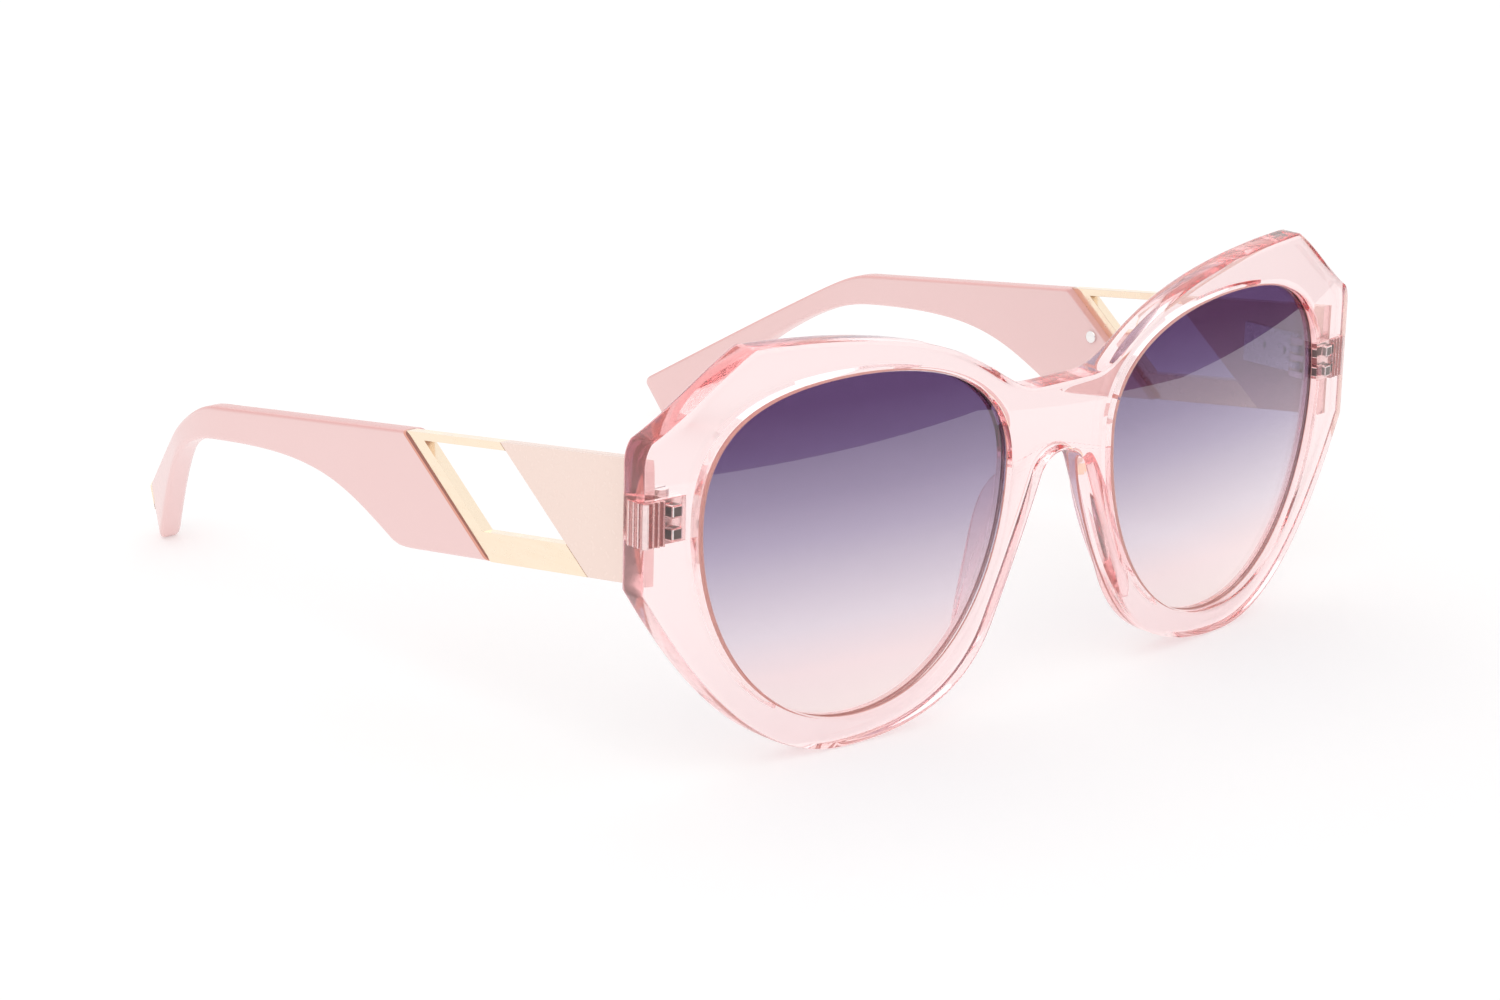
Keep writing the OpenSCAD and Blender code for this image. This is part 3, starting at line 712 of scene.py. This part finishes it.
def lacquer_front(plate, panel):
    """Lacquers the plate's faces ahead of the panel's slanted back edge, which is the plane through the
    panel's rearmost and lowest corners, and gives its front end face a pale rose steel in place of gold:
    painted light on a face that sits in shade behind the front."""
    corners = np.array([v.co for v in panel.data.vertices])
    back_top, back_low = corners[corners[:, 1].argmax()], corners[corners[:, 2].argmin()]
    _, run, fall = back_low - back_top
    slant_way = np.array([0, -fall, run])
    work = bmesh.new()
    work.from_mesh(plate.data)
    bmesh.ops.bisect_plane(work, geom=[*work.verts, *work.edges, *work.faces],
                           plane_co=back_top, plane_no=slant_way)
    slant_way /= np.linalg.norm(slant_way)
    for face in work.faces:
        if (np.array(face.calc_center_median()) - back_top) @ slant_way < -past_panel:
            face.material_index = painted_light_end if face.normal.y < end_facing else lacquered
    work.to_mesh(plate.data)
    work.free()


for side in ("left", "right"):
    body = "temple_" + side
    # The plate's bevels carry the dark brown gold as painted shade.
    plate = softened("metal_plate_" + side, body, 0.26 * MM, champagne_gold, gold_edge_painted_shade)
    plate.data.materials.append(peach_lacquer)
    plate.data.materials.append(rose_steel)
    lacquer_front(plate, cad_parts["enamel_panel_" + side])
    softened("enamel_panel_" + side, body, 0.08 * MM, peach_lacquer)
    softened("temple_hinge_" + side, body, 0.10 * MM, satin_steel)
    softened("hinge_rivets_" + side, body, 0.12 * MM, satin_steel, bright_steel_and_painted_highlight)
    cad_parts["hinge_washers_" + side].data.materials.clear()
    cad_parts["hinge_washers_" + side].data.materials.append(champagne_gold)

# ---- The acetate temple rears ----
# Each is a solid bar of dusty pink acetate, cut to a flared outline, bent inwards and down
# behind the ear, polished round, and moulded over a steel core wire.
rear_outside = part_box("temple_rear_left")[1][0]
plate_low = np.array(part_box("metal_plate_left")[0])
rear_thickness = 3.6 * MM
seam, bend, tip_length, tip_drop = 47.0, 97.0, 39.0, 18.5
temple_height, neck, tip_height, toe_radius = 17.0, 5.1, 9.1, 2.0
seam_slant, end_lean, toe_end = 0.95, 3.6 / 9.1, np.radians(-124)
seam_foot = seam - seam_slant * temple_height
turn_start, turn_radius, turn_angle = (bend - 6) * MM, 45 * MM, np.radians(24.5)
temple_top = front_height - 14.2 * MM
temple_start = plate_low[1] + 1.55 * MM
side_round, seam_round, tip_round = 0.85 * MM, 0.4 * MM, 1.6 * MM
toe_length, toe_narrowing, fullest_corner = 5.0 * MM, 0.96, 0.98
near_stations, far_stations = 60, 70
end_top = np.array([bend + tip_length, -tip_drop])
end_way = np.array([-end_lean, -np.sqrt(1 - end_lean**2)])
toe_side = np.array([end_way[1], -end_way[0]])
toe_middle = end_top + end_way * (tip_height - toe_radius) + toe_side * toe_radius
toe_reach = np.hypot(*toe_middle)
rake = np.arcsin((temple_top / MM - toe_radius) / toe_reach) - np.arctan2(-toe_middle[1], toe_middle[0])


def walked(points, share):
    """Places on a path at these shares of its length."""
    length = np.concatenate([[0], np.cumsum(np.linalg.norm(np.diff(points, axis=0), axis=1))])
    return np.stack([np.interp(share * length[-1], length, points[:, k]) for k in (0, 1)], 1), length[-1]


def evenly(points, count):
    """The same path with its points evenly spread."""
    return walked(points, np.linspace(0, 1, count))[0]


def rear_edges():
    """The top and bottom edges (s, h) in millimetres, paired from the seam to the neck to the tip."""
    split = (bend - 4, 0)
    neck_place = (bend - 3, -neck)
    belly = seam + 2.7
    toe_turn = np.linspace(toe_end, np.arctan2(-end_lean, -end_way[1]), 14)
    toe_arc = toe_middle + toe_radius * np.stack([np.cos(toe_turn), np.sin(toe_turn)], 1)
    top_near = np.array([(seam, 0), split])
    top_far = np.concatenate([stretch(split, (bend + 2, 0), (bend + 6, -2), end_top, 60), [end_top]])
    low_near = np.concatenate([
        [(seam_foot, -temple_height)],
        stretch((belly - 3, -temple_height), (belly, -temple_height), (belly + 1.5, -temple_height),
                (belly + 2.5, -temple_height + 0.8), 20),
        stretch((belly + 2.5, -temple_height + 0.8), (belly + 13, -temple_height + 8), (bend - 29, -neck),
                neck_place, 60), [neck_place]])
    low_far = np.concatenate([
        stretch(neck_place, (bend + 10, -neck), (bend + 20, -neck - 8), toe_arc[0], 60), toe_arc])
    return [np.concatenate([evenly(near, near_stations)[:-1], evenly(far, far_stations)])
            for near, far in ((top_near, top_far), (low_near, low_far))]


def rounded_ends(top, low):
    """The paired paths with six stations at each end, and how far each section draws in there:
    at an angle a of a quarter turn it lies radius (1 - cos a) back and draws in radius (1 - sin a)."""
    angle = np.radians(np.linspace(0, 90, 6))
    ends = []
    for step, radius in ((1, seam_round / MM), (-1, tip_round / MM)):
        paths = [edge[::step] for edge in (top, low)]
        lengths = [walked(path, np.zeros(1))[1] for path in paths]
        back = radius * (1 - np.cos(angle))
        ends.append([walked(path, back / length)[0] for path, length in zip(paths, lengths)]
                    + [radius * (1 - np.sin(angle))])
    (top_a, low_a, draw_a), (top_b, low_b, draw_b) = ends
    # The new stations take the place of the first two and the last four.
    keep = slice(2, -4)
    draw = np.concatenate([draw_a, np.zeros(len(top[keep])), draw_b[::-1]])
    top = np.concatenate([top_a, top[keep], top_b[::-1]])
    low = np.concatenate([low_a, low[keep], low_b[::-1]])
    return top * MM, low * MM, draw * MM


def bent(along, rise, x):
    """Places in the frame of points beside the temple's middle line, which leaves the straight on an
    arc, x = centre + radius cos(turn), and then runs on at the turn's angle."""
    centre, mid_radius = rear_outside - rear_thickness - turn_radius, turn_radius + rear_thickness / 2
    past_start = along - turn_start
    turn = np.arcsin(np.clip(past_start / mid_radius, 0, np.sin(turn_angle)))
    beyond = np.maximum(past_start - mid_radius * np.sin(turn_angle), 0)
    middle = centre + mid_radius * np.cos(turn) - beyond * np.tan(turn_angle)
    return np.stack([middle + x / np.cos(turn), temple_start + along * np.cos(rake) + rise * np.sin(rake),
                     temple_top - along * np.sin(rake) + rise * np.cos(rake)], -1)


def bar_points():
    """A rounded rectangle carried along the paired edges, each section running from the bottom edge
    to the top. Its corner radius gives way where an end draws the section in, and its foot narrows
    round the toe by the square root of 1 - narrowing t^2."""
    top, low, draw = rounded_ends(*rear_edges())
    span = np.linalg.norm(top - low, axis=1)
    corner_round = np.minimum(side_round, fullest_corner * (rear_thickness / 2 - draw))
    half_t, reach = rear_thickness / 2 - draw - corner_round, span / 2 - draw - corner_round
    corner = np.radians(np.linspace(0, 90, 5))
    parts = []
    for k, (way_x, way_q) in enumerate(((1, 1), (-1, 1), (-1, -1), (1, -1))):
        x = way_x * half_t[:, None] + corner_round[:, None] * np.cos(corner + k * np.pi / 2)
        q = way_q * reach[:, None] + corner_round[:, None] * np.sin(corner + k * np.pi / 2)
        parts.append((x, q))
        if k % 2:
            side_q = way_q * np.linspace(1, -1, 9)[1:-1]
            parts.append((np.repeat(x[:, -1:], len(side_q), 1), side_q * reach[:, None]))
    x, q = [np.concatenate([part[k] for part in parts], 1) for k in (0, 1)]
    height = 0.5 + q / span[:, None]
    steps = np.linalg.norm(np.diff(low, axis=0), axis=1)
    to_end = np.concatenate([np.cumsum(steps[::-1])[::-1], [0]])
    into_toe = np.clip(1 - to_end / toe_length, 0, 1)[:, None]
    x = x * (1 - (1 - np.sqrt(1 - toe_narrowing * into_toe**2)) * (1 - height))
    flat = low[:, None] + (top - low)[:, None] * height[..., None]
    return bent(flat[..., 0], flat[..., 1], x)


# Widths of the seam's painted shadow line and of its painted salmon chamfer strip.
seam_shadow_top, seam_shadow_low, salmon_strip, line_blur = 0.36 * MM, 0.12 * MM, 0.38 * MM, 0.1 * MM


def dusty_finish():
    """Dusty pink acetate with painted shade, a deeper tone, on the edges that face up. At the seam a painted
    shadow line, wider at the top, and a salmon strip that paints the seam's chamfer and its shade follow
    planes across the bar: a place's distance behind the plane is its dot product with the plane's normal,
    less the normal's own offset."""
    finish, tree = new_finish("dusty_acetate")
    marks = add_marks(tree, scale=1100, low=0.20, high=0.26)
    way = three_parts(tree, tree.nodes.new("ShaderNodeNewGeometry").outputs["Normal"])
    shade = tinted(tree, marks["Cloud"], (0.925, 0.66, 0.645), (0.91, 0.635, 0.62))
    # Painted shade: faces that turn up take a deeper rose.
    shade = tinted(tree, spaced(tree, way["Z"], 0.35, 0.85), shade, (0.83, 0.43, 0.41))
    seam_top = bent(seam * MM, 0.0, 0.0) + [0, seam_shadow_top, 0]
    seam_low = bent(seam_foot * MM, -temple_height * MM, 0.0) + [0, seam_shadow_low, 0]
    _, run, fall = seam_low - seam_top
    plane = np.array([0, -fall, run]) / np.hypot(run, fall)
    place = place_on(tree)
    across = tree.nodes.new("ShaderNodeVectorMath")
    across.operation = "DOT_PRODUCT"
    tree.links.new(place, across.inputs[0])
    across.inputs[1].default_value = plane
    sideways = worked(tree, "ABSOLUTE", three_parts(tree, place)["X"])
    outside = spaced(tree, sideways, plate_low[0], plate_low[0] + line_blur)
    # The salmon strip paints the seam's chamfer and its shade; the dark line is a painted shadow in the seam.
    for width, colour in ((salmon_strip, (0.80, 0.36, 0.27)), (0.0, (0.34, 0.13, 0.10))):
        edge = plane @ seam_top + width
        inside = spaced(tree, across.outputs["Value"], edge + line_blur / 2, edge)
        shade = tinted(tree, worked(tree, "MULTIPLY", inside, outside), shade, colour)
    finished(tree, glossy(tree, shade, marks))
    return finish


dusty_acetate = dusty_finish()
bar_grid = bar_points()
plate_long, plate_high, plate_wall = 3.0 * MM, 4.4 * MM, 0.14 * MM


def end_plate_patch():
    """The part of the bar's own grid that the end plate covers: the outer half of the last stations,
    within the plate's height below the top edge."""
    end_place = bent(end_top[0] * MM, end_top[1] * MM, 0.0)
    down = bent(*((end_top + end_way) * MM), 0.0) - end_place
    down[0] = 0
    back = np.array([0, -down[2], down[1]]) / np.linalg.norm(down)
    reach = (bar_grid - end_place) @ back
    drop = (bar_grid - end_place) @ (down / np.linalg.norm(down))
    quads = grid_faces(*bar_grid.shape[:2])
    outer_half = bar_grid[..., 0] >= bar_grid[..., 0].mean(1, keepdims=True)
    covered = (reach > -plate_long) & (drop < plate_high) & outer_half
    return quads[covered.reshape(-1)[quads].all(1)]


patch = end_plate_patch()
used, patch_faces = np.unique(patch, return_inverse=True)
for side, sign in (("left", 1), ("right", -1)):
    body = "temple_" + side
    bar = new_piece("acetate_rear_" + side, bar_grid * [sign, 1, 1], capped(*bar_grid.shape[:2]))
    bar.data.materials.append(dusty_acetate)
    fitted(bar, body, ["temple_rear_" + side])
    softened("seam_rivet_" + side, body, 0.14 * MM, bright_steel_and_painted_highlight)
    cap = new_piece("end_plate_" + side, (bar_grid * [sign, 1, 1]).reshape(-1, 3)[used],
                    patch_faces.reshape(-1, 4))
    cap.data.materials.append(champagne_gold)
    wall = cap.modifiers.new("plate_wall", "SOLIDIFY")
    wall.thickness, wall.offset = plate_wall, 0.0
    fitted(cap, body, ["tip_plate_" + side])
    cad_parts["core_wire_" + side].data.materials.clear()
    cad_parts["core_wire_" + side].data.materials.append(satin_steel)
